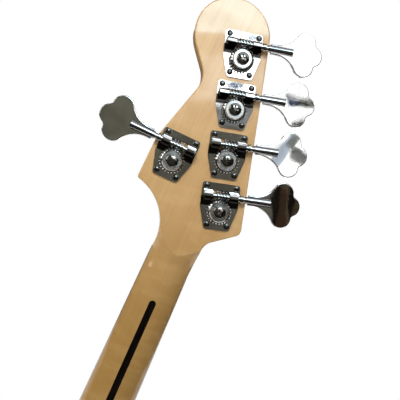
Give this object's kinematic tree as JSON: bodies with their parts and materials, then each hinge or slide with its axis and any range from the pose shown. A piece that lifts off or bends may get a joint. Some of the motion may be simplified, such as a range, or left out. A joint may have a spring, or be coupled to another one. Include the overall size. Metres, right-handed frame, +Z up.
{
  "type": "electric bass guitar",
  "caption": "Solid-body electric bass guitar with a long bolt-on neck, open-geared tuners on both sides of the headstock, bridge, pickups and turning knobs.",
  "frame": {"origin": "centre of the head of the end strap button", "axes": "+Z up the neck to the headstock, -Y the front with the strings, +X the side of the thin strings"},
  "size_m": [0.3352, 0.0693, 1.2301],
  "materials": {
    "maple": "clear gloss lacquer",
    "stripe_wood": "black stained, clear gloss lacquer",
    "board_wood": "oiled",
    "body_finish": "gloss lacquer over wood",
    "fret_wire": "polished",
    "marker": "pearl-like",
    "bone": "polished bone-like",
    "bright_metal": "mirror plating",
    "gear_metal": "mirror plating",
    "string_metal": "wound",
    "rod_steel": "plain",
    "screw_metal": "plated",
    "pickup_cover": "satin",
    "pole_steel": "turned",
    "knob_plastic": "moulded, knurled"
  },
  "bodies": {
    "instrument": {"neck": "maple", "skunk_stripe": "stripe_wood", "truss_rod": "rod_steel", "fretboard": "board_wood", "frets": "fret_wire", "fret_markers": "marker", "nut": "bone", "strings": "string_metal", "tuner_plates": "bright_metal", "tuner_bushings": "bright_metal", "tuner_screws": "screw_metal", "string_retainer": "bright_metal", "body": "body_finish", "neck_plate": "bright_metal", "neck_screws": "screw_metal", "bridge_plate": "bright_metal", "intonation_screws": "screw_metal", "bridge_pickup": "pickup_cover", "neck_pickup": "pickup_cover", "pole_pieces": "pole_steel", "body_screws": "screw_metal", "control_plate": "bright_metal", "potentiometers": "rod_steel", "output_jack": "bright_metal", "strap_buttons": "bright_metal"},
    "key_1": {"tuner_key_1": "bright_metal", "tuner_worm_1": "gear_metal"},
    "post_1": {"tuner_post_1": "bright_metal", "tuner_gear_1": "gear_metal", "tuner_gear_screw_1": "screw_metal"},
    "key_2": {"tuner_key_2": "bright_metal", "tuner_worm_2": "gear_metal"},
    "post_2": {"tuner_post_2": "bright_metal", "tuner_gear_2": "gear_metal", "tuner_gear_screw_2": "screw_metal"},
    "key_3": {"tuner_key_3": "bright_metal", "tuner_worm_3": "gear_metal"},
    "post_3": {"tuner_post_3": "bright_metal", "tuner_gear_3": "gear_metal", "tuner_gear_screw_3": "screw_metal"},
    "key_4": {"tuner_key_4": "bright_metal", "tuner_worm_4": "gear_metal"},
    "post_4": {"tuner_post_4": "bright_metal", "tuner_gear_4": "gear_metal", "tuner_gear_screw_4": "screw_metal"},
    "key_5": {"tuner_key_5": "bright_metal", "tuner_worm_5": "gear_metal"},
    "post_5": {"tuner_post_5": "bright_metal", "tuner_gear_5": "gear_metal", "tuner_gear_screw_5": "screw_metal"},
    "knob_1": {"knob_1": "knob_plastic"},
    "knob_2": {"knob_2": "knob_plastic"},
    "knob_3": {"knob_3": "knob_plastic"},
    "saddle_1": {"saddle_1": "gear_metal"},
    "saddle_2": {"saddle_2": "gear_metal"},
    "saddle_3": {"saddle_3": "gear_metal"},
    "saddle_4": {"saddle_4": "gear_metal"},
    "saddle_5": {"saddle_5": "gear_metal"},
    "truss_nut": {"truss_rod_nut": "rod_steel"}
  },
  "joints": [
    {"name": "key_1_turn", "type": "hinge", "parent": "instrument", "child": "key_1", "pos_m": [0.02299, -0.0025, 1.18402], "axis": [-0.9603, 0, 0.279], "continuous": true},
    {"name": "post_1_turn", "type": "hinge", "parent": "instrument", "child": "post_1", "pos_m": [0.01861, -0.0075, 1.16894], "axis": [0, 1, 0], "continuous": true},
    {"name": "key_2_turn", "type": "hinge", "parent": "instrument", "child": "key_2", "pos_m": [0.00929, -0.0025, 1.13427], "axis": [-0.9603, 0, 0.279], "continuous": true},
    {"name": "post_2_turn", "type": "hinge", "parent": "instrument", "child": "post_2", "pos_m": [0.0049, -0.0075, 1.11919], "axis": [0, 1, 0], "continuous": true},
    {"name": "key_3_turn", "type": "hinge", "parent": "instrument", "child": "key_3", "pos_m": [-0.00442, -0.0025, 1.08452], "axis": [-0.9603, 0, 0.279], "continuous": true},
    {"name": "post_3_turn", "type": "hinge", "parent": "instrument", "child": "post_3", "pos_m": [-0.0088, -0.0075, 1.06945], "axis": [0, 1, 0], "continuous": true},
    {"name": "key_4_turn", "type": "hinge", "parent": "instrument", "child": "key_4", "pos_m": [-0.01812, -0.0025, 1.03478], "axis": [-0.9603, 0, 0.279], "continuous": true},
    {"name": "post_4_turn", "type": "hinge", "parent": "instrument", "child": "post_4", "pos_m": [-0.0225, -0.0075, 1.0197], "axis": [0, 1, 0], "continuous": true},
    {"name": "key_5_turn", "type": "hinge", "parent": "instrument", "child": "key_5", "pos_m": [0.0409, -0.0025, 1.0624], "axis": [1, 0, 0], "continuous": true},
    {"name": "post_5_turn", "type": "hinge", "parent": "instrument", "child": "post_5", "pos_m": [0.0409, -0.0075, 1.0467], "axis": [0, 1, 0], "continuous": true},
    {"name": "knob_1_turn", "type": "hinge", "parent": "instrument", "child": "knob_1", "pos_m": [0.079, -0.0235, 0.1655], "axis": [0, -1, 0], "range_deg": [-135, 135]},
    {"name": "knob_2_turn", "type": "hinge", "parent": "instrument", "child": "knob_2", "pos_m": [0.091, -0.0235, 0.13583], "axis": [0, -1, 0], "range_deg": [-135, 135]},
    {"name": "knob_3_turn", "type": "hinge", "parent": "instrument", "child": "knob_3", "pos_m": [0.103, -0.0235, 0.10617], "axis": [0, -1, 0], "range_deg": [-135, 135]},
    {"name": "saddle_1_slide", "type": "slide", "parent": "instrument", "child": "saddle_1", "axis": [0, 0, 1], "range_m": [-0.005, 0.005]},
    {"name": "saddle_2_slide", "type": "slide", "parent": "instrument", "child": "saddle_2", "axis": [0, 0, 1], "range_m": [-0.005, 0.005]},
    {"name": "saddle_3_slide", "type": "slide", "parent": "instrument", "child": "saddle_3", "axis": [0, 0, 1], "range_m": [-0.005, 0.005]},
    {"name": "saddle_4_slide", "type": "slide", "parent": "instrument", "child": "saddle_4", "axis": [0, 0, 1], "range_m": [-0.005, 0.005]},
    {"name": "saddle_5_slide", "type": "slide", "parent": "instrument", "child": "saddle_5", "axis": [0, 0, 1], "range_m": [-0.005, 0.005]},
    {"name": "truss_nut_turn", "type": "hinge", "parent": "instrument", "child": "truss_nut", "pos_m": [0, -0.0179, 0.34087], "axis": [0, 0, 1], "range_deg": [-180, 180]}
  ],
  "couplings": [
    {"joint": "post_1_turn", "follows": "key_1_turn", "ratio": 0.041667},
    {"joint": "post_2_turn", "follows": "key_2_turn", "ratio": 0.041667},
    {"joint": "post_3_turn", "follows": "key_3_turn", "ratio": 0.041667},
    {"joint": "post_4_turn", "follows": "key_4_turn", "ratio": 0.041667},
    {"joint": "post_5_turn", "follows": "key_5_turn", "ratio": 0.041667}
  ]
}
